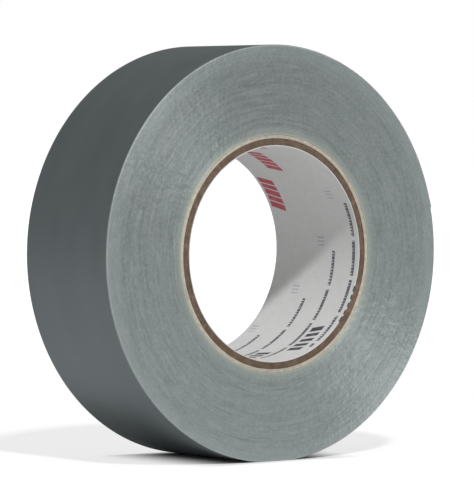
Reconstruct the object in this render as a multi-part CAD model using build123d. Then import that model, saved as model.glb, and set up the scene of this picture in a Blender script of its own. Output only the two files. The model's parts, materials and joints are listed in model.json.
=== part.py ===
from build123d import *
from math import acos, cos, degrees, radians, sin, sqrt
import os

# A roll of cloth-backed duct tape, in millimetres.
# The roll stands on its edge: its axis is Y, its front side is at -Y and +Z is up.
# The origin is on the axis, halfway across the width.
# Angles are measured round the axis from +X towards +Z, as seen from the front.

# ---------------------------------------------------------------- driving dimensions
tape_width = 48.0
core_width = 47.8
core_bore_radius = 38.1
roll_radius = 73.93  # halfway round the last turn
base_sag = 0.43  # how far the roll's own weight has flattened its foot

# Paper plies of the core, from the bore outwards.
liner_thickness = 0.4
board_ply_count = 6
board_ply_thickness = 0.4
cover_ply_count = 3
cover_ply_thickness = 0.4

# Layers of the tape, from the sticky side outwards.
adhesive_thickness = 0.08
scrim_thickness = 0.06
film_thickness = 0.07

# The free end of the tape lies on the roll's hidden side and peels upwards.
end_angle = 12.0  # where the tape is cut off
peel_angle = 60.0  # where the stuck tape ends and the loose end starts
end_segment_count = 6
end_lift = 0.04  # gap under the loose end, and its fold gaps
point_spacing = 8.0  # most degrees between points of a spiral edge

# ---------------------------------------------------------------- worked-out dimensions
tape_thickness = adhesive_thickness + scrim_thickness + film_thickness
half_turn_rise = tape_thickness / 2.0
free_end_radius = roll_radius + half_turn_rise
foot_angle = 270.0
segment_angle = (peel_angle - end_angle) / end_segment_count


def turn_radius(angle, depth):
    """Radius of the surface that lies depth below the outside of the last turn."""
    return free_end_radius - tape_thickness * (angle - end_angle) / 360.0 - depth


base_height = turn_radius(foot_angle, 0.0) - base_sag


def at(angle, radius):
    """A point of the roll's side view: X to the right, Z upwards."""
    return (radius * cos(radians(angle)), radius * sin(radians(angle)))


def spiral_edge(first_angle, last_angle, depth, first_point=None, last_point=None):
    """One smooth run of a turn's surface, through evenly spaced points of the spiral."""
    spans = max(2, round(abs(last_angle - first_angle) / point_spacing))
    points = []
    for i in range(spans + 1):
        angle = first_angle + (last_angle - first_angle) * i / spans
        points.append(at(angle, turn_radius(angle, depth)))
    if first_point:
        points[0] = first_point
    if last_point:
        points[-1] = last_point
    return Spline(*points)


def turn_surface(first_angle, last_angle, depth):
    """The edges of a turn's surface that passes the flattened foot of the roll."""
    height = base_height - depth
    radius = turn_radius(foot_angle, depth)
    half_width = sqrt(radius**2 - height**2)
    half_angle = degrees(acos(height / radius))
    left_point = (-half_width, -height)
    right_point = (half_width, -height)
    return [
        spiral_edge(first_angle, foot_angle - half_angle, depth, last_point=left_point),
        Line(left_point, right_point),
        spiral_edge(foot_angle + half_angle, last_angle, depth, first_point=right_point),
    ]


def across_the_roll(edges, width):
    """The solid between two planes across the roll's axis, from its outline."""
    face = make_face(edges)
    return extrude(Plane.XZ * face, amount=width / 2.0, both=True)


def ring(inner_radius, outer_radius, width):
    """A round tube on the roll's axis."""
    face = Circle(outer_radius) - Circle(inner_radius)
    return extrude(Plane.XZ * face, amount=width / 2.0, both=True)


def core_plies():
    """The paperboard core: a printed liner, brown board plies and pale cover plies."""
    plies = {}
    radius = core_bore_radius
    plies["core_liner"] = ring(radius, radius + liner_thickness, core_width)
    radius += liner_thickness
    for i in range(board_ply_count):
        outer = radius + board_ply_thickness
        plies[f"core_board_ply_{i + 1}"] = ring(radius, outer, core_width)
        radius = outer
    for i in range(cover_ply_count):
        outer = radius + cover_ply_thickness
        plies[f"core_cover_ply_{i + 1}"] = ring(radius, outer, core_width)
        radius = outer
    return plies, radius


def tape_winding(core_radius):
    """Every turn of tape under the last one. Its outside steps down where a turn ends."""
    step_angle = end_angle + 360.0
    edges = turn_surface(end_angle, step_angle, tape_thickness)
    top_of_step = at(end_angle, turn_radius(end_angle, tape_thickness))
    foot_of_step = at(step_angle, turn_radius(step_angle, tape_thickness))
    edges.append(Line(foot_of_step, top_of_step))
    outline = make_face(edges)
    face = outline - Circle(core_radius)
    return extrude(Plane.XZ * face, amount=tape_width / 2.0, both=True)


def last_turn_layer(top_depth, bottom_depth):
    """One layer of the last turn, from the peel line round to where the end covers it."""
    last_angle = end_angle + 360.0
    edges = turn_surface(peel_angle, last_angle, top_depth)
    edges += turn_surface(peel_angle, last_angle, bottom_depth)
    for angle in (peel_angle, last_angle):
        top = at(angle, turn_radius(angle, top_depth))
        bottom = at(angle, turn_radius(angle, bottom_depth))
        edges.append(Line(top, bottom))
    return across_the_roll(edges, tape_width)


def end_segment_layer(number, top_depth, bottom_depth):
    """One layer of one segment of the loose end. Segment 1 is next to the peel line."""
    gap = degrees(end_lift / free_end_radius)
    start = peel_angle - segment_angle * (number - 1) - gap
    finish = peel_angle - segment_angle * number
    top = spiral_edge(start, finish, top_depth - end_lift)
    bottom = spiral_edge(start, finish, bottom_depth - end_lift)
    edges = [top, bottom, Line(top @ 0, bottom @ 0), Line(top @ 1, bottom @ 1)]
    return across_the_roll(edges, tape_width)


def tape_layers():
    """The depth of each layer's top and bottom under the outside of the tape."""
    film_bottom = film_thickness
    scrim_bottom = film_bottom + scrim_thickness
    return {
        "film": (0.0, film_bottom),
        "scrim": (film_bottom, scrim_bottom),
        "adhesive": (scrim_bottom, tape_thickness),
    }


def build_roll():
    """Every piece of the roll, by name."""
    pieces, core_radius = core_plies()
    pieces["tape_winding"] = tape_winding(core_radius)
    for layer, (top, bottom) in tape_layers().items():
        pieces[f"last_turn_{layer}"] = last_turn_layer(top, bottom)
        for number in range(1, end_segment_count + 1):
            pieces[f"free_end_{number}_{layer}"] = end_segment_layer(number, top, bottom)
    return pieces


def print_fold_lines():
    """The hinge line of each segment: its outer edge, on the side next to the roll."""
    for number in range(1, end_segment_count + 1):
        angle = peel_angle - segment_angle * (number - 1)
        x, z = at(angle, turn_radius(angle, -end_lift))
        print(f"fold line {number}: x {x:.3f}, z {z:.3f}")


os.makedirs("parts", exist_ok=True)
for name, solid in build_roll().items():
    export_step(solid, f"parts/{name}.step")
print_fold_lines()
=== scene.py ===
import json
import math

import bmesh
import bpy
import numpy as np
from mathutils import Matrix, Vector


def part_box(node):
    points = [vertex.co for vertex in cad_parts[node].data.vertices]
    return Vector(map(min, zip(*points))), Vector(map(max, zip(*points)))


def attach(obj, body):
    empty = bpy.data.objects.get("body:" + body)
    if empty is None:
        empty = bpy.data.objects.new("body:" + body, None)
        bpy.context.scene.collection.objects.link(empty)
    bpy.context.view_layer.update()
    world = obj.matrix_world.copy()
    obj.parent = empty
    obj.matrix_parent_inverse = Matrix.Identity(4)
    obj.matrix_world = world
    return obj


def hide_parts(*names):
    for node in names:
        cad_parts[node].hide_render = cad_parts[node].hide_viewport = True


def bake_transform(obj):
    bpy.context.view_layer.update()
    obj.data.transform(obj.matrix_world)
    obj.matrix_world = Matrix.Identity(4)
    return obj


# Looks for a roll of duct tape standing on its edge, in the CAD frame: the axis is Y, the
# front side is at -Y, +Z is up, the origin is on the axis. Sizes are in metres, unless a
# comment says millimetres.
# Angles are measured round the axis from +X towards +Z. A tape's angle keeps counting
# past a full turn, and falls from the core outwards to the free end.

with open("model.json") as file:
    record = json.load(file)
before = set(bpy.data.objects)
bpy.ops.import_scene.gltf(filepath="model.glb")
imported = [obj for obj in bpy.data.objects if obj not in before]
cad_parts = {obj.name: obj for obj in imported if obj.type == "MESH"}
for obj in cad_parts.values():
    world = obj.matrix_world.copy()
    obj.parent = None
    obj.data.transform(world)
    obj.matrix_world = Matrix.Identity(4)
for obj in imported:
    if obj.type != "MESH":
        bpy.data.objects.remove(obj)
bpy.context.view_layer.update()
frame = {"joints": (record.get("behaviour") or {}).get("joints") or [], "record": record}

MM = 0.001
TURN = 2 * math.pi

# ---------------------------------------------------------------- sizes from the frame
mounts = {mount["name"]: mount for mount in frame["record"]["mounts"]}
joints = frame["joints"]
bore_radius = mounts["core_bore"]["dims"]["r_mm"] * MM
base_height = -mounts["standing_foot"]["pos_m"][2]
tape_half_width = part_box("tape_winding")[1].y
core_half_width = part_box("core_liner")[1].y
core_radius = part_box("core_cover_ply_3")[1].z


def joint_angle(joint):
    """The angle round the roll of a hinge line."""
    return math.atan2(joint["pos_m"][2], joint["pos_m"][0])


peel_angle = joint_angle(joints[0])
segment_angle = peel_angle - joint_angle(joints[1])
segment_count = len(joints)
end_angle = peel_angle - segment_angle * segment_count

# ---------------------------------------------------------------- the tape's own sizes
adhesive_thickness = 0.08 * MM
scrim_thickness = 0.06 * MM
film_thickness = 0.07 * MM
tape_thickness = adhesive_thickness + scrim_thickness + film_thickness
end_lift = 0.04 * MM
corner_size = 0.35 * MM
free_end_radius = 74.035 * MM
peel_bend = 2.6 * MM  # the length of tape that bends as it comes off the roll

# The scrim: from yarn to yarn across the tape and along it, in millimetres.
warp_pitch = 1.15
weft_pitch = 2.3
warp_half_size = (0.13 * MM, 0.016 * MM)  # half a lengthwise yarn's width and thickness
weft_half_size = (0.11 * MM, 0.014 * MM)  # and a crosswise one's
yarn_weave = 0.006 * MM  # how far the yarns rise and dip as they cross

# The cut end stands off the roll by this much more, over its last few millimetres.
cut_end_lift = 0.09 * MM
cut_end_length = 5 * MM

# The last turn's strip runs on under the loose end to this angle, a little past the peel line.
under_end_angle = peel_angle + segment_angle + TURN

LAYER_DEPTHS = {
    "film": (0.0, film_thickness),
    "scrim": (film_thickness, film_thickness + scrim_thickness),
    "adhesive": (film_thickness + scrim_thickness, tape_thickness),
}

# Core plies, from the bore outwards: node and material slot. All are equally thick.
CORE_PLIES = [("core_liner", "liner_paper")]
CORE_PLIES += [(f"core_board_ply_{i + 1}", "core_board") for i in range(6)]
CORE_PLIES += [(f"core_cover_ply_{i + 1}", "core_cover_paper") for i in range(3)]
ply_thickness = (core_radius - bore_radius) / len(CORE_PLIES)

# The liner's printing, in millimetres. Its rows wind round the bore as they cross the width.
print_row_spacing = 11.5
print_helix = 2.39  # degrees round the bore for each millimetre across
print_lean = print_helix * bore_radius / MM * TURN / 360  # the same, in millimetres
small_print_start = -15.1
small_print_end = -75.0
print_baseline = -21.0  # the place across the width where one row starts
row_descent = 2.5
liner_seam_angle = 142.0  # degrees, where the seam crosses the middle of the bore

# The camera, the floor and the light.
camera_azimuth = math.radians(-37.785)
camera_elevation = math.radians(1.848)
camera_distance = 1.370
camera_shift = (0.000926, 0.004278)  # to the right and upwards
camera_lens = 286.4
floor_reach = 6.0
floor_glow = 1.22
foot_shade_beside = (14 * MM, 42 * MM)  # the floor's glow fades in between these, left and right
foot_shade_before = (24 * MM, 32 * MM)  # and between these, in front and behind
key_direction = Vector((-0.248, -0.618, 0.746)).normalized()
key_distance = 6.0
key_size = 0.573
key_energy = 248.5
fill_strength = 0.25

edge_fibre_count = 420  # loose fibres on each side of the roll


# ---------------------------------------------------------------- smooth random values
def eased(part):
    """Smooths the two ends of a rise from 0 to 1."""
    return part * part * (3 - 2 * part)


def wander(position, spacing, seed):
    """Smooth random values from -1 to 1 along a line, one fresh value each spacing."""
    size = 8192
    values = np.random.default_rng(seed).uniform(-1, 1, size)
    steps = position / spacing
    cell = np.floor(steps).astype(int)
    part = eased(steps - cell)
    return values[cell % size] * (1 - part) + values[(cell + 1) % size] * part


def ripple(across, along, across_spacing, along_spacing, seed):
    """Smooth random values from -1 to 1 over a surface."""
    size = 512
    values = np.random.default_rng(seed).uniform(-1, 1, (size, size))
    u, v = across / across_spacing, along / along_spacing
    cell_u, cell_v = np.floor(u).astype(int), np.floor(v).astype(int)
    part_u, part_v = eased(u - cell_u), eased(v - cell_v)
    low = values[cell_u % size, cell_v % size] * (1 - part_u)
    low += values[(cell_u + 1) % size, cell_v % size] * part_u
    high = values[cell_u % size, (cell_v + 1) % size] * (1 - part_u)
    high += values[(cell_u + 1) % size, (cell_v + 1) % size] * part_u
    return low * (1 - part_v) + high * part_v


def ring_noise(angle, count, seed):
    """Smooth random values from -1 to 1 round a circle, count of them in a turn."""
    values = np.random.default_rng(seed).uniform(-1, 1, count)
    steps = np.mod(angle, TURN) / TURN * count
    cell = np.floor(steps).astype(int)
    part = eased(steps - cell)
    return values[cell % count] * (1 - part) + values[(cell + 1) % count] * part


# ---------------------------------------------------------------- the roll's shape
def turn_radius(angle, depth):
    """Radius of the round spiral that lies depth under the outside of the last turn."""
    return free_end_radius - tape_thickness * (angle - end_angle) / TURN - depth


def surface_radius(angle, depth):
    """The spiral, flattened at the foot of the roll."""
    spiral = turn_radius(angle, depth)
    from_foot = np.mod(angle - math.radians(270) + math.pi, TURN) - math.pi
    near_foot = np.clip(from_foot, -math.radians(50), math.radians(50))
    flat = (base_height - depth) / np.cos(near_foot)
    softness = 0.03 * MM
    return 0.5 * (spiral + flat) - 0.5 * np.sqrt((spiral - flat) ** 2 + softness**2)


def pressed_in(angle, radius):
    """A wound turn's radius once the foot is pressed flat: the outer turns give most."""
    angle = end_angle + np.mod(angle - end_angle, TURN)
    sag = turn_radius(angle, tape_thickness) - surface_radius(angle, tape_thickness)
    share = (radius - core_radius) / (free_end_radius - core_radius)
    return radius - sag * share**4


def points_at(angle, radius, y):
    """Points from their angle, radius and place across the width."""
    angle, radius, y = np.broadcast_arrays(angle, radius, y)
    return np.stack([radius * np.cos(angle), y, radius * np.sin(angle)], axis=-1)


# ---------------------------------------------------------------- mesh helpers
def mesh_piece(name, points, faces, material, strip=None, crease=40.0):
    """A smooth-shaded mesh object, creased where faces meet at a sharp angle."""
    mesh = bpy.data.meshes.new(name)
    mesh.from_pydata(points.reshape(-1, 3).tolist(), [], faces)
    if strip is not None:
        layer = mesh.attributes.new("strip", "FLOAT_VECTOR", "POINT")
        layer.data.foreach_set("vector", strip.astype(np.float32).ravel())
    mesh.polygons.foreach_set("use_smooth", [True] * len(mesh.polygons))
    mesh.set_sharp_from_angle(angle=math.radians(crease))
    mesh.materials.append(material)
    mesh.validate()
    piece = bpy.data.objects.new(name, mesh)
    bpy.context.scene.collection.objects.link(piece)
    return piece


def quads(first, second, third, fourth):
    """Faces from four equal lists of corners."""
    return np.stack([first, second, third, fourth], axis=-1).reshape(-1, 4).tolist()


def loop_faces(rows, columns, closed):
    """Faces of a skin through rows of closed loops. An open skin gets end caps."""
    index = np.arange(rows * columns).reshape(rows, columns)
    beside = np.roll(index, -1, axis=1)
    if closed:
        above, above_beside = np.roll(index, -1, axis=0), np.roll(beside, -1, axis=0)
        return quads(index, above, above_beside, beside)
    faces = quads(index[:-1], index[1:], beside[1:], beside[:-1])
    half = columns // 2
    for row, flip in ((index[0], False), (index[-1], True)):
        top, bottom = row[:half], row[half:][::-1]
        corners = [top[:-1], top[1:], bottom[1:], bottom[:-1]]
        faces += quads(*(corners[::-1] if flip else corners))
    return faces


# ---------------------------------------------------------------- material helpers
class Nodes:
    """Short names for the nodes of one material."""

    def __init__(self, name):
        self.material = bpy.data.materials.new(name)
        self.material.use_nodes = True
        self.tree = self.material.node_tree
        self.shader = self.tree.nodes["Principled BSDF"]

    def node(self, kind, **settings):
        made = self.tree.nodes.new(kind)
        for setting, value in settings.items():
            setattr(made, setting, value)
        return made

    def feed(self, socket, value):
        """Links a node's output to a socket, or sets a plain value on it."""
        if isinstance(value, bpy.types.NodeSocket):
            self.tree.links.new(value, socket)
        elif isinstance(value, (tuple, list)) and len(value) == 3:
            size = len(socket.default_value)
            socket.default_value = (*value, 1.0) if size == 4 else value
        else:
            socket.default_value = value

    def math(self, operation, *values):
        made = self.node("ShaderNodeMath", operation=operation)
        for socket, value in zip(made.inputs, values):
            self.feed(socket, value)
        return made.outputs[0]

    def vector(self, x, y, z):
        made = self.node("ShaderNodeCombineXYZ")
        for socket, value in zip(made.inputs, (x, y, z)):
            self.feed(socket, value)
        return made.outputs[0]

    def split(self, vector):
        made = self.node("ShaderNodeSeparateXYZ")
        self.feed(made.inputs[0], vector)
        return made.outputs

    def object_coordinates(self):
        return self.node("ShaderNodeTexCoord").outputs["Object"]

    def strip_coordinates(self):
        """Millimetres along the tape and across it, then which face or layer it is.

        On the wound side the second value is the distance from the roll's axis.
        """
        return self.node("ShaderNodeAttribute", attribute_name="strip").outputs["Vector"]

    def stretched(self, vector, scale):
        made = self.node("ShaderNodeMapping")
        self.feed(made.inputs["Vector"], vector)
        self.feed(made.inputs["Scale"], scale)
        return made.outputs[0]

    def noise(self, vector, scale, detail=2.0, roughness=0.5):
        made = self.node("ShaderNodeTexNoise")
        self.feed(made.inputs["Vector"], vector)
        self.feed(made.inputs["Scale"], scale)
        self.feed(made.inputs["Detail"], detail)
        self.feed(made.inputs["Roughness"], roughness)
        return made.outputs["Fac"]

    def fade(self, value, low, high, to_low=0.0, to_high=1.0):
        """Maps low..high to to_low..to_high, smoothly, and stays inside."""
        made = self.node("ShaderNodeMapRange", interpolation_type="SMOOTHSTEP")
        for socket, item in zip(made.inputs, (value, low, high, to_low, to_high)):
            self.feed(socket, item)
        return made.outputs[0]

    def inside(self, value, low, high, edge):
        """1 where low < value < high, with soft edges, else 0."""
        rise = self.fade(value, low - edge, low + edge)
        fall = self.fade(value, high - edge, high + edge, 1.0, 0.0)
        return self.math("MULTIPLY", rise, fall)

    def mix(self, share, first, second):
        made = self.node("ShaderNodeMix", data_type="RGBA")
        self.feed(made.inputs[0], share)
        self.feed(made.inputs[6], first)
        self.feed(made.inputs[7], second)
        return made.outputs[2]

    def bump(self, height, distance, normal=None):
        made = self.node("ShaderNodeBump")
        self.feed(made.inputs["Height"], height)
        self.feed(made.inputs["Distance"], distance)
        self.feed(made.inputs["Strength"], 1.0)
        if normal is not None:
            self.feed(made.inputs["Normal"], normal)
        return made.outputs[0]

    def finish(self, **sockets):
        """Sets the shader's sockets by name, with _ for a space."""
        for name, value in sockets.items():
            self.feed(self.shader.inputs[name.replace("_", " ")], value)
        return self.material


# ---------------------------------------------------------------- materials
def weave_height(nodes, strip):
    """The scrim's yarns as they press through the film: ridges along and across."""
    along, across, _ = nodes.split(strip)
    sway = nodes.noise(strip, 0.12, 1.0)
    along = nodes.math("ADD", along, nodes.math("MULTIPLY", sway, 1.6))
    across = nodes.math("ADD", across, nodes.math("MULTIPLY", sway, 0.8))
    warp = nodes.math("COSINE", nodes.math("MULTIPLY", across, TURN / warp_pitch))
    weft = nodes.math("COSINE", nodes.math("MULTIPLY", along, TURN / weft_pitch))
    warp_ridge = nodes.fade(warp, 0.2, 1.0)
    weft_ridge = nodes.fade(weft, 0.55, 1.0, 0.0, 0.8)
    return nodes.math("MAXIMUM", warp_ridge, weft_ridge)


def film_material():
    """Silver-grey polyethylene: a satin film with the weave just showing through."""
    nodes = Nodes("silver_grey_film")
    strip = nodes.strip_coordinates()
    across = nodes.split(strip)[1]
    weave = weave_height(nodes, strip)
    cloud = nodes.noise(nodes.stretched(strip, (0.4, 1.0, 1.0)), 0.07, 3.0)
    grain = nodes.noise(strip, 3.0, 3.0)
    shade = nodes.mix(nodes.fade(cloud, 0.3, 0.7), (0.184, 0.212, 0.220), (0.203, 0.231, 0.239))
    shade = nodes.mix(nodes.math("MULTIPLY", weave, 0.10), shade, (0.27, 0.29, 0.295))
    # A painted highlight: the film is lighter along its cut edges, where the rim catches the light.
    half_width = tape_half_width / MM
    painted_edge_highlight = nodes.fade(nodes.math("ABSOLUTE", across), half_width - 0.55, half_width - 0.3)
    shade = nodes.mix(nodes.math("MULTIPLY", painted_edge_highlight, 0.7), shade, (0.45, 0.48, 0.48))
    uneven = nodes.math("ADD", grain, nodes.math("MULTIPLY", cloud, 0.6))
    roughness = nodes.fade(uneven, 0.5, 1.1, 0.50, 0.58)
    normal = nodes.bump(grain, 0.003 * MM)
    normal = nodes.bump(weave, 0.008 * MM, normal)
    return nodes.finish(Base_Color=shade, Metallic=0.82, Roughness=roughness, Normal=normal)


def arcs(nodes, place, radius, along_scale, radial_scale):
    """Noise drawn out round the roll's axis, with no seam. Scales are per millimetre."""
    x, _, z = nodes.split(nodes.stretched(place, (along_scale / MM,) * 3))
    across = nodes.math("MULTIPLY", radius, radial_scale)
    return nodes.noise(nodes.vector(x, across, z), 1.0, 3.0, 0.65)


def toned(nodes, shade, tones):
    """Lays tones over a colour. Each has a value, its range, how much it covers there, a colour."""
    for value, span, cover, colour in tones:
        shade = nodes.mix(nodes.fade(value, *span, *cover), shade, colour)
    return shade


def paler_rims_with_painted_highlight(nodes, shade, radius):
    """Pales the turns next to the core and the outer ones, and paints a thin highlight on the
    outermost. The radius is in millimetres.
    """
    core_edge = core_radius / MM
    first_turns, innermost = (core_edge + 0.1, core_edge + 3.9), (core_edge + 0.1, core_edge + 1.0)
    last_turns, outermost = (66.5, 72.5), (73.35, 73.65)
    tones = [
        (radius, first_turns, (0.65, 0.0), (0.42, 0.465, 0.425)),
        (radius, innermost, (0.6, 0.0), (0.56, 0.54, 0.46)),
        (radius, last_turns, (0.0, 0.35), (0.41, 0.457, 0.465)),
        # A painted highlight: the outermost turns are paler, for the light caught on the rounded rim.
        (radius, outermost, (0.0, 0.6), (0.62, 0.65, 0.65)),
    ]
    return toned(nodes, shade, tones)


def edge_material(name, dark, light, metallic):
    """The wound side, turn after turn: either the film and scrim edges or the adhesive.

    It also has painted shade towards the top and painted light towards the foot.
    """
    nodes = Nodes(name)
    strip = nodes.strip_coordinates()
    length, radius, _ = nodes.split(strip)
    place = nodes.object_coordinates()
    turns = nodes.noise(nodes.stretched(strip, (0.018, 0.0, 0.0)), 1.0, 3.0, 0.7)
    rings = nodes.noise(nodes.vector(0.0, nodes.math("MULTIPLY", radius, 0.8), 0.0), 1.0, 4.0, 0.8)
    thin_arcs = arcs(nodes, place, radius, 0.09, 0.95)
    wide_arcs = arcs(nodes, place, radius, 0.03, 0.25)
    patches = nodes.noise(place, 60.0, 3.0)
    mottle = nodes.noise(place, 700.0, 3.0, 0.7)
    blots = nodes.noise(place, 330.0, 3.0, 0.6)
    shade = nodes.mix(nodes.fade(turns, 0.3, 0.7), dark, light)
    height = nodes.split(place)[2]
    tones = [
        (thin_arcs, (0.5, 0.68), (0.0, 0.65), (0.391, 0.437, 0.432)),
        (thin_arcs, (0.32, 0.5), (0.6, 0.0), (0.163, 0.188, 0.188)),
        (rings, (0.55, 0.72), (0.0, 0.45), (0.419, 0.460, 0.455)),
        (wide_arcs, (0.35, 0.65), (0.0, 0.3), (0.326, 0.366, 0.364)),
        (patches, (0.35, 0.65), (0.0, 0.35), (0.249, 0.305, 0.293)),
        (mottle, (0.48, 0.68), (0.0, 0.25), (0.400, 0.444, 0.441)),
        (mottle, (0.32, 0.5), (0.25, 0.0), (0.172, 0.202, 0.200)),
        (blots, (0.5, 0.66), (0.0, 0.14), (0.400, 0.444, 0.446)),
        (blots, (0.34, 0.5), (0.14, 0.0), (0.172, 0.204, 0.205)),
        # Painted shade towards the top of the side and painted light towards the foot.
        (height, (-10 * MM, 65 * MM), (0.0, 0.32), (0.19, 0.213, 0.205)),
        (height, (-65 * MM, 10 * MM), (0.22, 0.0), (0.42, 0.468, 0.467)),
    ]
    shade = toned(nodes, shade, tones)
    weft = nodes.math("FRACT", nodes.math("DIVIDE", length, weft_pitch))
    yarn_end = nodes.math("MULTIPLY", nodes.inside(weft, 0.42, 0.58, 0.05), metallic * 0.6)
    shade = nodes.mix(yarn_end, shade, (0.60, 0.625, 0.61))
    shade = paler_rims_with_painted_highlight(nodes, shade, radius)
    tangent = nodes.node("ShaderNodeTangent", direction_type="RADIAL", axis="Y")
    relief = nodes.math("ADD", mottle, nodes.math("MULTIPLY", thin_arcs, 0.5))
    return nodes.finish(
        Base_Color=shade,
        Metallic=metallic,
        Roughness=nodes.fade(mottle, 0.3, 0.7, 0.50, 0.64),
        Anisotropic=0.8,
        Anisotropic_Rotation=0.25,
        Tangent=tangent.outputs[0],
        Normal=nodes.bump(relief, 0.2 * MM, nodes.bump(blots, 0.5 * MM)),
    )


def paper_fibres(nodes, place, scale):
    """Fine random fibres for paper and board, lying every way."""
    bent = nodes.node("ShaderNodeTexNoise")
    nodes.feed(bent.inputs["Vector"], place)
    nodes.feed(bent.inputs["Scale"], scale * 0.25)
    sway = nodes.node("ShaderNodeVectorMath", operation="MULTIPLY_ADD")
    nodes.feed(sway.inputs[0], bent.outputs["Color"])
    nodes.feed(sway.inputs[1], (3 / scale, 3 / scale, 3 / scale))
    nodes.feed(sway.inputs[2], place)
    long_way = nodes.noise(nodes.stretched(sway.outputs[0], (1.0, 0.35, 1.0)), scale, 4.0, 0.65)
    cross_way = nodes.noise(nodes.stretched(sway.outputs[0], (0.4, 1.0, 0.4)), scale, 4.0, 0.65)
    return nodes.math("MULTIPLY", nodes.math("ADD", long_way, cross_way), 0.5)


def print_coordinates(nodes, place):
    """Where a point is on the liner's printing: along a row, up from it, in mm."""
    x, y, z = nodes.split(place)
    angle = nodes.math("DEGREES", nodes.math("ARCTAN2", z, x))
    across = nodes.math("MULTIPLY", y, 1 / MM)
    shifted = nodes.math("ADD", angle, nodes.math("MULTIPLY", across, print_helix))
    turned = nodes.math("WRAP", shifted, -180.0, 180.0)
    along = nodes.math("MULTIPLY", turned, bore_radius / MM * TURN / 360)
    from_baseline = nodes.math("SUBTRACT", across, print_baseline)
    up = nodes.math("WRAP", from_baseline, -row_descent, print_row_spacing - row_descent)
    return along, up


def printed_block(nodes, along, up, first, last, low, high):
    """A plain block of print, as a mask."""
    wide = nodes.inside(along, first, last, 0.12)
    tall = nodes.inside(up, low, high, 0.1)
    return nodes.math("MULTIPLY", wide, tall)


def strokes(nodes, along, pitch, least, most):
    """Upright strokes of uneven width along a row, as a mask."""
    steps = nodes.math("DIVIDE", along, pitch)
    chance = nodes.node("ShaderNodeTexWhiteNoise", noise_dimensions="1D")
    nodes.feed(chance.inputs["W"], nodes.math("FLOOR", steps))
    half_width = nodes.fade(chance.outputs["Value"], 0.0, 1.0, least / 2, most / 2)
    from_middle = nodes.math("ABSOLUTE", nodes.math("SUBTRACT", nodes.math("FRACT", steps), 0.5))
    return nodes.fade(nodes.math("SUBTRACT", from_middle, half_width), -0.05, 0.05, 1.0, 0.0)


def small_print(nodes, along, up):
    """A row of plain dashes, each made of short strokes."""
    from_start = nodes.math("SUBTRACT", along, small_print_start)
    dash = nodes.inside(nodes.math("FRACT", nodes.math("DIVIDE", from_start, 14.3)), 0.10, 0.99, 0.01)
    row = printed_block(nodes, along, up, small_print_end, small_print_start, -0.8, 0.8)
    bar = nodes.inside(up, -0.8, -0.2, 0.08)
    marks = nodes.math("MAXIMUM", strokes(nodes, along, 1.15, 0.58, 1.05), bar)
    return nodes.math("MULTIPLY", nodes.math("MULTIPLY", row, dash), marks)


def bold_print(nodes, along, up, first, last, low, high, pitch, least, most):
    """A block of bold strokes, as a mask."""
    block = printed_block(nodes, along, up, first, last, low, high)
    return nodes.math("MULTIPLY", block, strokes(nodes, along, pitch, least, most))


def liner_material():
    """White liner paper printed with plain dashes and bars, in rows that step round."""
    nodes = Nodes("printed_liner_paper")
    place = nodes.object_coordinates()
    fibres = paper_fibres(nodes, place, 900.0)
    mottle = nodes.noise(place, 160.0, 3.0)
    along, up = print_coordinates(nodes, place)
    shade = nodes.mix(nodes.fade(fibres, 0.3, 0.7), (0.675, 0.675, 0.67), (0.73, 0.732, 0.73))
    shade = nodes.mix(nodes.fade(mottle, 0.4, 0.7, 0.0, 0.35), shade, (0.675, 0.665, 0.65))
    ink_wear = nodes.fade(fibres, 0.2, 0.55, 0.7, 1.0)
    upright = nodes.math("SUBTRACT", along, nodes.math("MULTIPLY", up, print_lean))
    italic = nodes.math("SUBTRACT", along, nodes.math("MULTIPLY", up, print_lean - 0.25))
    back_leaning = nodes.math("SUBTRACT", along, nodes.math("MULTIPLY", up, print_lean + 0.25))
    black_bars = bold_print(nodes, italic, up, -77.0, -61.6, 3.0, 8.9, 3.08, 0.55, 0.8)
    red_bars = bold_print(nodes, back_leaning, up, 35.1, 48.6, 1.2, 8.8, 2.7, 0.6, 0.9)
    width_place = nodes.split(place)[1]
    red_bars = nodes.math("MULTIPLY", red_bars, nodes.fade(width_place, -15 * MM, -14 * MM))
    faint_bars = bold_print(nodes, upright, up, -13.5, -9.3, 5.0, 9.0, 1.4, 0.3, 0.5)
    marks = [
        (small_print(nodes, upright, up), 0.88, (0.035, 0.04, 0.06)),
        (black_bars, 0.95, (0.02, 0.02, 0.035)),
        (red_bars, 0.9, (0.50, 0.02, 0.045)),
        (faint_bars, 0.4, (0.24, 0.17, 0.36)),
    ]
    for mask, strength, ink in marks:
        cover = nodes.math("MULTIPLY", nodes.math("MULTIPLY", mask, ink_wear), strength)
        shade = nodes.mix(cover, shade, ink)
    normal = nodes.bump(fibres, 0.02 * MM)
    return nodes.finish(Base_Color=shade, Roughness=0.62, Specular_IOR_Level=0.35, Normal=normal)


def board_material():
    """Brown paperboard with fibres and darker, crushed spots."""
    nodes = Nodes("brown_paperboard")
    place = nodes.object_coordinates()
    fibres = paper_fibres(nodes, place, 1400.0)
    spots = nodes.noise(place, 260.0, 3.0)
    shade = nodes.mix(nodes.fade(fibres, 0.3, 0.7), (0.14, 0.096, 0.068), (0.30, 0.215, 0.155))
    shade = nodes.mix(nodes.fade(spots, 0.35, 0.7, 0.0, 0.5), shade, (0.12, 0.08, 0.057))
    normal = nodes.bump(fibres, 0.05 * MM)
    return nodes.finish(Base_Color=shade, Roughness=0.85, Specular_IOR_Level=0.25, Normal=normal)


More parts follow.
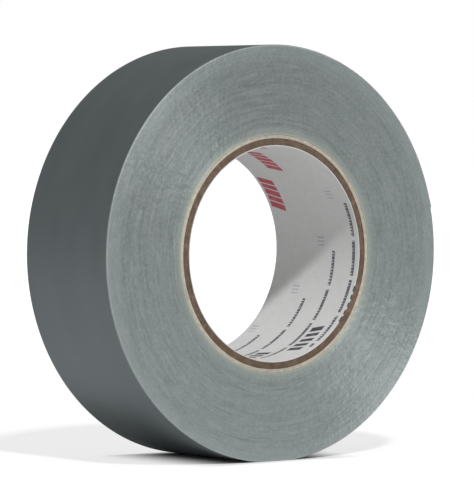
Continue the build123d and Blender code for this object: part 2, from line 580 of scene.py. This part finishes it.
def cover_paper_material():
    """Pale cream paper on the outside of the core."""
    nodes = Nodes("cream_cover_paper")
    place = nodes.object_coordinates()
    fibres = paper_fibres(nodes, place, 1200.0)
    spots = nodes.noise(place, 220.0, 3.0)
    shade = nodes.mix(nodes.fade(fibres, 0.3, 0.7), (0.50, 0.46, 0.37), (0.76, 0.72, 0.62))
    shade = nodes.mix(nodes.fade(spots, 0.4, 0.7, 0.0, 0.4), shade, (0.56, 0.50, 0.40))
    normal = nodes.bump(fibres, 0.04 * MM)
    return nodes.finish(Base_Color=shade, Roughness=0.8, Specular_IOR_Level=0.25, Normal=normal)


def scrim_material():
    """Off-white cotton yarn with its twist."""
    nodes = Nodes("cotton_scrim_yarn")
    strip = nodes.strip_coordinates()
    along, across, _ = nodes.split(strip)
    twist = nodes.math("SINE", nodes.math("MULTIPLY", nodes.math("ADD", along, across), 14.0))
    fuzz = nodes.noise(strip, 6.0, 3.0)
    shade = nodes.mix(nodes.fade(twist, -0.6, 0.8), (0.50, 0.50, 0.47), (0.70, 0.70, 0.67))
    shade = nodes.mix(nodes.fade(fuzz, 0.35, 0.7, 0.0, 0.5), shade, (0.60, 0.59, 0.55))
    normal = nodes.bump(nodes.math("ADD", twist, fuzz), 0.01 * MM)
    return nodes.finish(Base_Color=shade, Roughness=0.9, Sheen_Weight=0.3, Normal=normal)


def adhesive_material():
    """Grey-white pressure adhesive: tacky, with the scrim's grid showing in it."""
    nodes = Nodes("grey_white_adhesive")
    strip = nodes.strip_coordinates()
    weave = weave_height(nodes, strip)
    lumps = nodes.noise(strip, 0.8, 4.0, 0.6)
    shade = nodes.mix(nodes.fade(lumps, 0.3, 0.7), (0.37, 0.39, 0.37), (0.47, 0.49, 0.465))
    shade = nodes.mix(nodes.math("MULTIPLY", weave, 0.45), shade, (0.60, 0.61, 0.585))
    normal = nodes.bump(lumps, 0.02 * MM)
    normal = nodes.bump(weave, 0.02 * MM, normal)
    roughness = nodes.fade(lumps, 0.3, 0.7, 0.28, 0.5)
    return nodes.finish(Base_Color=shade, Roughness=roughness, Specular_IOR_Level=0.6, Normal=normal)


FILM_EDGE = edge_material("film_and_scrim_edges", (0.275, 0.315, 0.312), (0.37, 0.417, 0.413), 0.42)

MATERIALS = {
    "tape_film": film_material(),
    "tape_edges": FILM_EDGE,
    "tape_scrim": scrim_material(),
    "tape_adhesive": adhesive_material(),
    "liner_paper": liner_material(),
    "core_board": board_material(),
    "core_cover_paper": cover_paper_material(),
}

# The adhesive edges are darker than the adhesive itself: partly dust, partly painted shade for the
# valleys between turns.
ADHESIVE_EDGE_DUST_AND_SHADE = edge_material("adhesive_edge_dust_and_painted_shade", (0.15, 0.172, 0.17), (0.215, 0.243, 0.24), 0.2)


# ---------------------------------------------------------------- the wound turns
def corner_drop(radius):
    """How far the side falls away where the outermost turns round off its corner."""
    into_corner = np.clip((radius - free_end_radius) / corner_size + 1, 0, 1)
    return corner_size * (1 - np.sqrt(1 - 0.8 * into_corner**2))


strip_half_width = tape_half_width - corner_drop(free_end_radius)


def side_relief(length, radius, seed):
    """How far the tape's edge stands out of the side: turns wander as they are wound."""
    groups = 0.055 * MM * wander(radius, 0.9 * MM, seed)
    broad = 0.09 * MM * wander(radius, 5.0 * MM, seed + 1)
    drift = 0.035 * MM * wander(length, 190 * MM, seed + 2)
    fine = 0.012 * MM * wander(length, 4.5 * MM, seed + 3)
    return groups + broad + drift + fine - corner_drop(radius)


def closed_behind(points, outer_loop, inner_loop):
    """New points on the roll's middle plane, and the faces that close the side's two rims to it."""
    back = np.concatenate([points[outer_loop], points[inner_loop]])
    back[:, 1] = 0.0
    back_outer, back_inner = np.split(len(points) + np.arange(len(back)), 2)
    faces = []
    for loop, behind in ((outer_loop, back_outer), (inner_loop, back_inner)):
        faces += quads(loop, np.roll(loop, -1), np.roll(behind, -1), behind)
    faces += quads(back_outer, np.roll(back_outer, -1), np.roll(back_inner, -1), back_inner)
    return back, faces


def wound_half(name, side, seed):
    """Half the winding, as one spiral strip of turns seen edge on, closed behind."""
    steps, layers = 300, 2
    outside = turn_radius(under_end_angle, 0.0) - core_radius
    count = round(outside / tape_thickness * steps)
    step = np.arange(count + 1)[:, None]
    layer = np.arange(layers)[None, :]
    turns = step / steps
    pitch = outside / (count / steps)
    angle = under_end_angle + TURN * (count / steps - turns)
    strand = np.array([0.35, 1.0])[None, :]
    radius = core_radius + pitch * np.where(turns < 1, turns * strand, turns - 1 + strand)
    length = turns * TURN * (core_radius + pitch * turns / 2)
    relief = side_relief(length, radius, seed) - 0.022 * MM * (layer == 0)
    points = points_at(angle, pressed_in(angle, radius), side * (tape_half_width + relief))
    strip = np.stack(np.broadcast_arrays(length / MM, radius / MM, layer), axis=-1)

    index = np.arange((count + 1) * layers).reshape(count + 1, layers)
    faces = quads(index[:-1, 0], index[1:, 0], index[1:, 1], index[:-1, 1])
    edge_faces = len(faces)
    inner, outer = index[: count - steps, 1], index[steps:count, 0]
    next_inner, next_outer = index[1 : count - steps + 1, 1], index[steps + 1 :, 0]
    faces += quads(inner, next_inner, next_outer, outer)
    adhesive_faces = range(edge_faces, len(faces))

    outer_loop = np.append(index[count - steps :, 1], index[count, 0])
    inner_loop = np.append(index[: steps + 1, 0], index[0, 1])
    points, strip = points.reshape(-1, 3), strip.reshape(-1, 3)
    back, back_faces = closed_behind(points, outer_loop, inner_loop)
    faces += back_faces
    points = np.concatenate([points, back])
    strip = np.concatenate([strip, strip[outer_loop], strip[inner_loop]])
    piece = mesh_piece(name, points, faces, MATERIALS["tape_edges"], strip, 0.0)
    # The adhesive faces lie in the valleys between turns. Their darker colour is partly dust, partly
    # painted shade.
    piece.data.materials.append(ADHESIVE_EDGE_DUST_AND_SHADE)
    for number in adhesive_faces:
        piece.data.polygons[number].material_index = 1
    outward_normals(piece)
    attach(piece, "roll")
    return piece


def outward_normals(piece):
    """Turns every face of a closed mesh to face out."""
    edit = bmesh.new()
    edit.from_mesh(piece.data)
    bmesh.ops.recalc_face_normals(edit, faces=edit.faces)
    edit.to_mesh(piece.data)
    edit.free()


# ---------------------------------------------------------------- strips of the tape
def edge_wander(length, side, layer):
    """How far a strip's cut edge strays from straight, in metres."""
    seed = 40 + 3 * side + len(layer)
    return 0.03 * MM * wander(length, 21 * MM, seed) + 0.012 * MM * wander(length, 2 * MM, seed + 9)


def stuck_down(angle, across):
    """No lift: the last turn is stuck to the turn under it."""
    return 0 * angle + 0 * across


def end_curl(angle, across):
    """The loose end's lift. It grows past the peel line and again at the cut end."""
    past_peel = eased(np.clip((peel_angle + segment_angle / 2 - angle) / segment_angle, 0, 1))
    near_end = np.clip(1 - (angle - end_angle) * free_end_radius / cut_end_length, 0, None)
    corner = 1 + 0.6 * np.abs(across / tape_half_width) ** 5
    unevenness = 1 + 0.3 * wander(across, 13 * MM, 71)
    return end_lift * past_peel + cut_end_lift * near_end**2 * corner * unevenness


def film_relief(length, across):
    """Faint waves in the outer film: long ripples and soft bumps."""
    long_waves = 0.012 * MM * ripple(across, length, 14 * MM, 60 * MM, 61)
    short_waves = 0.002 * MM * ripple(across, length, 3 * MM, 7 * MM, 62)
    return long_waves + short_waves


def strip_skin(first_angle, last_angle, layer, lift, angle_step, columns):
    """Rows of points round a strip's cross-section, and their strip coordinates."""
    top_depth, bottom_depth = LAYER_DEPTHS[layer]
    rows = max(2, math.ceil(abs(last_angle - first_angle) / angle_step)) + 1
    angle = np.linspace(first_angle, last_angle, rows)[:, None]
    length = (angle - end_angle) * free_end_radius
    share = np.linspace(-1, 1, columns)[None, :]
    low = -strip_half_width - edge_wander(length, 0, layer)
    high = strip_half_width + edge_wander(length, 1, layer)
    across = low + (high - low) * (share + 1) / 2
    relief = film_relief(length, across) if layer == "film" else 0.0
    raised = lift(angle, across)
    top = points_at(angle, surface_radius(angle, top_depth) + raised + relief, across)
    bottom = points_at(angle, surface_radius(angle, bottom_depth) + raised, across)
    points = np.concatenate([top, bottom[:, ::-1]], axis=1)
    flat_top = np.stack(np.broadcast_arrays(length / MM, across / MM, 0.0), axis=-1)
    flat_bottom = flat_top[:, ::-1] + np.array([0.0, 0.0, 1.0])
    return points, np.concatenate([flat_top, flat_bottom], axis=1)


def strip_piece(name, first_angle, last_angle, layer, lift, angle_step, columns):
    """One stretch of the film or the adhesive."""
    points, strip = strip_skin(first_angle, last_angle, layer, lift, angle_step, columns)
    faces = loop_faces(points.shape[0], points.shape[1], closed=False)
    piece = mesh_piece(name, points, faces, MATERIALS[f"tape_{layer}"], strip)
    return piece


warp_count = int(2 * strip_half_width / (warp_pitch * MM))


def warp_place(number):
    """Where a lengthwise yarn lies across the tape."""
    return (number + 0.5 - warp_count / 2) * warp_pitch * MM


def yarn_points(angle, y, over, lengthwise, lift, sides):
    """Rows of points round a flat yarn. It runs along the tape or across it."""
    half_wide, half_thick = warp_half_size if lengthwise else weft_half_size
    around = np.arange(sides) * TURN / sides
    wide, thick = half_wide * np.cos(around), half_thick * np.sin(around)
    depth = sum(LAYER_DEPTHS["scrim"]) / 2
    radius = surface_radius(angle, depth) + lift(angle, y) + yarn_weave * over
    radius = radius[:, None] + thick[None, :]
    if lengthwise:
        return points_at(angle[:, None], radius, y[:, None] + wide[None, :])
    return points_at(angle[:, None] + wide[None, :] / free_end_radius, radius, y[:, None])


def scrim_piece(name, first_angle, last_angle, lift, sides):
    """One stretch of the scrim: cotton yarns along the tape, crossed by others."""
    pieces = []
    weft_step = weft_pitch * MM / free_end_radius
    scatter = np.random.default_rng(int(round(1000 * last_angle)))
    along_steps = max(2, math.ceil((last_angle - first_angle) / math.radians(1.0))) + 1
    for number in range(warp_count):
        angle = np.linspace(first_angle, last_angle, along_steps)
        y = warp_place(number) + 0.12 * MM * wander(angle * free_end_radius, 14 * MM, 80 + number)
        over = np.cos(math.pi * angle / weft_step) * (-1) ** number
        pieces.append(yarn_points(angle, y, over, True, lift, sides))
    first_weft = math.ceil(first_angle / weft_step + 0.2)
    last_weft = math.floor(last_angle / weft_step - 0.2)
    for number in range(first_weft, last_weft + 1):
        overhang = scatter.uniform(0.02, 0.16, 2) * MM
        y = np.linspace(-strip_half_width - overhang[0], strip_half_width + overhang[1], 43)
        angle = number * weft_step + 0.1 * MM / free_end_radius * wander(y, 9 * MM, number)
        over = -np.cos(math.pi * y / (warp_pitch * MM)) * (-1) ** number
        pieces.append(yarn_points(angle, y, over, False, lift, sides))
    return joined_yarns(name, pieces)


def joined_yarns(name, yarns):
    """One object from many yarns, each a closed tube."""
    points, faces, strips, start = [], [], [], 0
    for yarn in yarns:
        rows, columns = yarn.shape[:2]
        faces += (np.array(loop_faces(rows, columns, closed=False)) + start).tolist()
        start += rows * columns
        flat = yarn.reshape(-1, 3)
        angle = np.mod(np.arctan2(flat[:, 2], flat[:, 0]), TURN)
        points.append(flat)
        length = angle * free_end_radius / MM
        strips.append(np.stack([length, flat[:, 1] / MM, 0 * angle], axis=-1))
    points, strips = np.concatenate(points), np.concatenate(strips)
    piece = mesh_piece(name, points, faces, MATERIALS["tape_scrim"], strips, 60.0)
    return piece


def last_turn():
    """The last turn, from the peel line round the roll and on under the loose end."""
    ends = (peel_angle + segment_angle / 2, under_end_angle)
    film_step, adhesive_step = math.radians(0.8), math.radians(1.5)
    film = strip_piece("last_turn_film_strip", *ends, "film", stuck_down, film_step, columns=57)
    adhesive = strip_piece(
        "last_turn_adhesive_strip", *ends, "adhesive", stuck_down, adhesive_step, columns=13
    )
    scrim = scrim_piece("last_turn_scrim_yarns", *ends, stuck_down, sides=4)
    for layer, piece in (("film", film), ("adhesive", adhesive), ("scrim", scrim)):
        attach(piece, "roll")
        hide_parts(f"last_turn_{layer}")


def free_end():
    """The loose end, in stretches from mid-segment to mid-segment, and the last one is the tip."""
    bodies = ["roll"] + [f"free_end_{n}" for n in range(1, segment_count + 1)]
    angle_step = math.radians(0.25)
    for number in range(1, segment_count + 2):
        high = peel_angle + segment_angle * (1.5 - number)
        low = max(high - segment_angle, end_angle)
        for layer in ("film", "scrim", "adhesive"):
            name = f"free_end_{layer}_{number}"
            if layer == "scrim":
                piece = scrim_piece(name, low, high, end_curl, sides=6)
            else:
                columns = 57 if layer == "film" else 33
                piece = strip_piece(name, low, high, layer, end_curl, angle_step, columns)
            if number > segment_count:
                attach(piece, bodies[segment_count])
            else:
                bend_over_hinge(piece, number)
                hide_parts(f"free_end_{number}_{layer}")


def bend_over_hinge(piece, number):
    """Bakes a stretch's placement into its mesh. It works out where a bend would start and end,
    mid-segment to mid-segment and for the first just past its hinge, but uses neither.
    """
    hinge_angle = peel_angle - segment_angle * (number - 1)
    before = 0.0 if number == 1 else segment_angle / 2
    start = points_at(hinge_angle + before, free_end_radius, 0.0)
    after = peel_bend / free_end_radius if number == 1 else segment_angle / 2
    end = points_at(hinge_angle - after, free_end_radius, 0.0)
    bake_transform(piece)


# ---------------------------------------------------------------- the core
def liner_seam(angle, y):
    """The liner strip's butt seam: a shallow groove that winds across the bore."""
    helix = np.degrees(angle) + print_helix * y / MM
    from_seam = np.mod(helix - liner_seam_angle + 180.0, 360.0) - 180.0
    distance = np.abs(from_seam) * bore_radius * TURN / 360
    return 0.10 * MM * np.clip(1 - distance / (0.35 * MM), 0, 1)


def core_ply(number, node, slot):
    """One ply of the core: a thin tube with rough, slightly uneven cut ends."""
    steps, columns = 360, 49 if number == 0 else 9
    inner = bore_radius + number * ply_thickness
    outer = inner + ply_thickness
    angle = (np.arange(steps) * TURN / steps)[:, None]
    ends = []
    for side in (0, 1):
        rough = 0.035 * ring_noise(angle, 180, 200 + 7 * number + side)
        rough += 0.05 * ring_noise(angle, 17, 300 + 5 * number + side)
        ends.append(core_half_width + rough * MM - 0.03 * MM * (number % 2))
    share = np.linspace(0, 1, columns)[None, :]
    y = -ends[0] + (ends[0] + ends[1]) * share
    soft_edge = 0.05 * MM * (np.abs(2 * share - 1) > 0.999)
    gap = 0.008 * MM
    inside = inner + gap + soft_edge + (liner_seam(angle, y) if number == 0 else 0 * y)
    outside = outer - gap - soft_edge + 0 * y
    outer_points, inner_points = points_at(angle, outside, y), points_at(angle, inside, y)
    points = np.concatenate([outer_points, inner_points[:, ::-1]], axis=1)
    faces = loop_faces(steps, points.shape[1], closed=True)
    piece = mesh_piece(node + "_paper", points, faces, MATERIALS[slot])
    outward_normals(piece)
    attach(piece, "roll")
    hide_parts(node)


# ---------------------------------------------------------------- loose fibres
def fibre_tube(angle, radius, y, thick):
    """A thin round fibre along a line of points."""
    around = np.arange(4) * TURN / 4
    ring_radius = radius[:, None] + thick * np.cos(around)[None, :]
    return points_at(angle[:, None], ring_radius, y[:, None] + thick * np.sin(around)[None, :])


def edge_fibres(name, side, seed, count):
    """Short cotton fibres that stick out of the cut edges of the tape."""
    scatter = np.random.default_rng(seed)
    part = np.linspace(0, 1, 5)
    fibres = []
    for _ in range(count):
        start = scatter.uniform(0, TURN)
        radius = core_radius + (free_end_radius - core_radius) * math.sqrt(scatter.uniform(0.02, 0.97))
        reach = scatter.uniform(0.35, 1.5) * MM
        lean = scatter.uniform(-1.2, 1.2)
        curl = scatter.uniform(-0.5, 0.5) * reach
        outward = reach * part * math.sin(lean) * 0.4 + curl * part**2
        rise = reach * scatter.uniform(0.05, 0.3) * np.sin(math.pi * part * scatter.uniform(0.5, 1.0))
        angle = start + reach * part * math.cos(lean) / radius
        y = side * (tape_half_width - 0.02 * MM + rise)
        thick = scatter.uniform(0.012, 0.022) * MM
        fibres.append(fibre_tube(angle, pressed_in(angle, radius + outward), y, thick))
    piece = joined_yarns(name, fibres)
    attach(piece, "roll")


def cut_end_fibres():
    """Fine cotton fibres that fray out of the scrim at the cut end."""
    scatter = np.random.default_rng(31)
    part = np.linspace(0, 1, 7)
    depth = sum(LAYER_DEPTHS["scrim"]) / 2
    fibres = []
    for number in range(warp_count):
        for _ in range(scatter.integers(1, 5)):
            reach = scatter.uniform(0.2, 1.0) ** 2 * 2.2 * MM
            angle = end_angle + (0.3 * MM - (reach + 0.3 * MM) * part) / free_end_radius
            sway = scatter.uniform(-0.5, 0.5) * reach * part**2
            y = warp_place(number) + scatter.uniform(-0.1, 0.1) * MM + sway
            rise = scatter.uniform(0.02, 0.35) * reach * part**2
            at_end = np.maximum(angle, end_angle)
            radius = surface_radius(at_end, depth) + end_curl(at_end, y) + rise
            fibres.append(fibre_tube(angle, radius, y, scatter.uniform(0.014, 0.03) * MM))
    piece = joined_yarns("cut_end_fibres", fibres)
    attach(piece, f"free_end_{segment_count}")


# ---------------------------------------------------------------- camera, floor, light
def camera_at_view():
    """A long lens in front and to the left of the roll, just above its middle."""
    level = Vector((math.sin(camera_azimuth), -math.cos(camera_azimuth), 0.0))
    back = level * math.cos(camera_elevation)
    back.z = math.sin(camera_elevation)
    right = Vector((math.cos(camera_azimuth), math.sin(camera_azimuth), 0.0))
    up = back.cross(right)
    data = bpy.data.cameras.new("camera")
    data.lens = camera_lens
    camera = bpy.data.objects.new("camera", data)
    camera.location = back * camera_distance + right * camera_shift[0] + up * camera_shift[1]
    camera.rotation_mode = "QUATERNION"
    camera.rotation_quaternion = (-back).to_track_quat("-Z", "Y")
    bpy.context.scene.collection.objects.link(camera)
    bpy.context.scene.camera = camera


def floor_material():
    """Plain white. It looks brighter than it lights, except right under the foot."""
    nodes = Nodes("white_floor")
    tree = nodes.tree
    tree.nodes.remove(nodes.shader)
    output = tree.nodes["Material Output"]
    matt = nodes.node("ShaderNodeBsdfDiffuse")
    matt.inputs["Color"].default_value = (0.91, 0.91, 0.91, 1.0)
    glow = nodes.node("ShaderNodeEmission")
    glow.inputs["Strength"].default_value = floor_glow
    seen = nodes.node("ShaderNodeMixShader")
    place = nodes.object_coordinates()
    reach = nodes.node("ShaderNodeVectorMath", operation="LENGTH")
    nodes.feed(reach.inputs[0], place)
    share = nodes.fade(reach.outputs["Value"], 0.2, 1.2, to_low=0.62, to_high=0.96)
    x, y, _ = nodes.split(place)
    beside_foot = nodes.fade(nodes.math("ABSOLUTE", x), *foot_shade_beside)
    before_foot = nodes.fade(nodes.math("ABSOLUTE", y), *foot_shade_before)
    share = nodes.math("MULTIPLY", share, nodes.math("MAXIMUM", beside_foot, before_foot))
    camera_ray = nodes.node("ShaderNodeLightPath").outputs["Is Camera Ray"]
    nodes.feed(seen.inputs[0], nodes.math("MULTIPLY", share, camera_ray))
    tree.links.new(matt.outputs[0], seen.inputs[1])
    tree.links.new(glow.outputs[0], seen.inputs[2])
    tree.links.new(seen.outputs[0], output.inputs["Surface"])
    return nodes.material


def pale_floor():
    """The plain white floor that the roll stands on."""
    mesh = bpy.data.meshes.new("floor")
    signs = ((-1, -1), (1, -1), (1, 1), (-1, 1))
    corners = [(right * floor_reach, back * floor_reach, -base_height) for right, back in signs]
    mesh.from_pydata(corners, [], [(0, 1, 2, 3)])
    mesh.materials.append(floor_material())
    floor = bpy.data.objects.new("floor", mesh)
    bpy.context.scene.collection.objects.link(floor)


def key_light():
    """One soft light from the front left and above."""
    data = bpy.data.lights.new("key", "AREA")
    data.shape = "DISK"
    data.size = key_size
    data.energy = key_energy
    key = bpy.data.objects.new("key", data)
    key.location = key_direction * key_distance
    key.rotation_mode = "QUATERNION"
    key.rotation_quaternion = key_direction.to_track_quat("Z", "Y")
    bpy.context.scene.collection.objects.link(key)


def white_surroundings():
    """An even fill light from all round, seen as white."""
    world = bpy.data.worlds.new("studio")
    bpy.context.scene.world = world
    world.use_nodes = True
    tree = world.node_tree
    background = tree.nodes["Background"]
    path = tree.nodes.new("ShaderNodeLightPath")
    brightness = tree.nodes.new("ShaderNodeMapRange")
    brightness.inputs["To Min"].default_value = fill_strength
    brightness.inputs["To Max"].default_value = 1.0
    tree.links.new(path.outputs["Is Camera Ray"], brightness.inputs["Value"])
    tree.links.new(brightness.outputs[0], background.inputs["Strength"])
    background.inputs["Color"].default_value = (1.0, 1.0, 1.0, 1.0)


# ---------------------------------------------------------------- putting it together
def build():
    front = wound_half("wound_turns_front", side=-1, seed=11)
    wound_half("wound_turns_back", side=1, seed=23)
    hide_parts("tape_winding")
    last_turn()
    free_end()
    cut_end_fibres()
    for number, (node, slot) in enumerate(CORE_PLIES):
        core_ply(number, node, slot)
    edge_fibres("edge_fibres_front", side=-1, seed=5, count=edge_fibre_count)
    edge_fibres("edge_fibres_back", side=1, seed=6, count=edge_fibre_count)
    camera_at_view()
    pale_floor()
    key_light()
    white_surroundings()
    bpy.context.scene.view_settings.view_transform = "Standard"


build()
